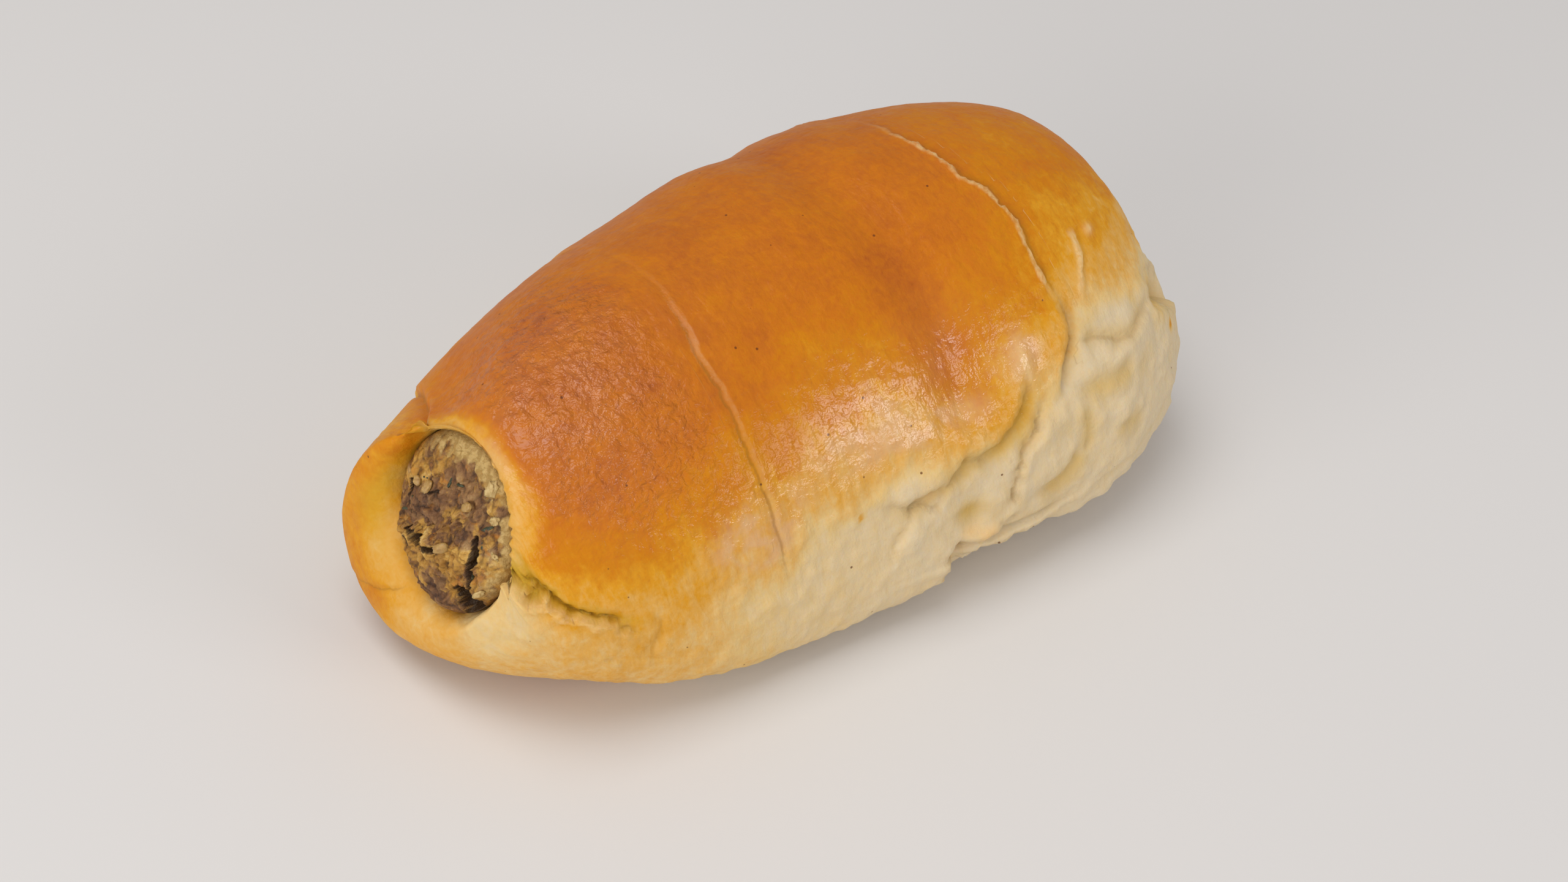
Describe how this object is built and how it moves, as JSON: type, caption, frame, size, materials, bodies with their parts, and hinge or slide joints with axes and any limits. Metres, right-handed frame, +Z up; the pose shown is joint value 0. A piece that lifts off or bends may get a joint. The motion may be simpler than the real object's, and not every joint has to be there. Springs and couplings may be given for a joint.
{
  "type": "boudin kolache",
  "caption": "Soft golden roll wound round a boudin link that shows at both open ends, with seams, folds, a cracked lobe and a flat underside.",
  "frame": {"origin": "centre of the roll's box in plan, on the surface that its flat underside rests on", "axes": "+X along the roll from the shown mouth to the far mouth, -Y the shown front, +Z up"},
  "size_m": [0.137, 0.0854, 0.0561],
  "materials": {
    "crust": "baked egg-washed crust, orange-brown on top fading to pale cream at the foot, softly glossy",
    "boudin": "moist crumbly rice and pork mix, mottled brown and ochre with dark green flecks"
  },
  "bodies": {
    "root": {"dough_roll": "crust", "boudin_filling": "boudin"}
  },
  "joints": []
}
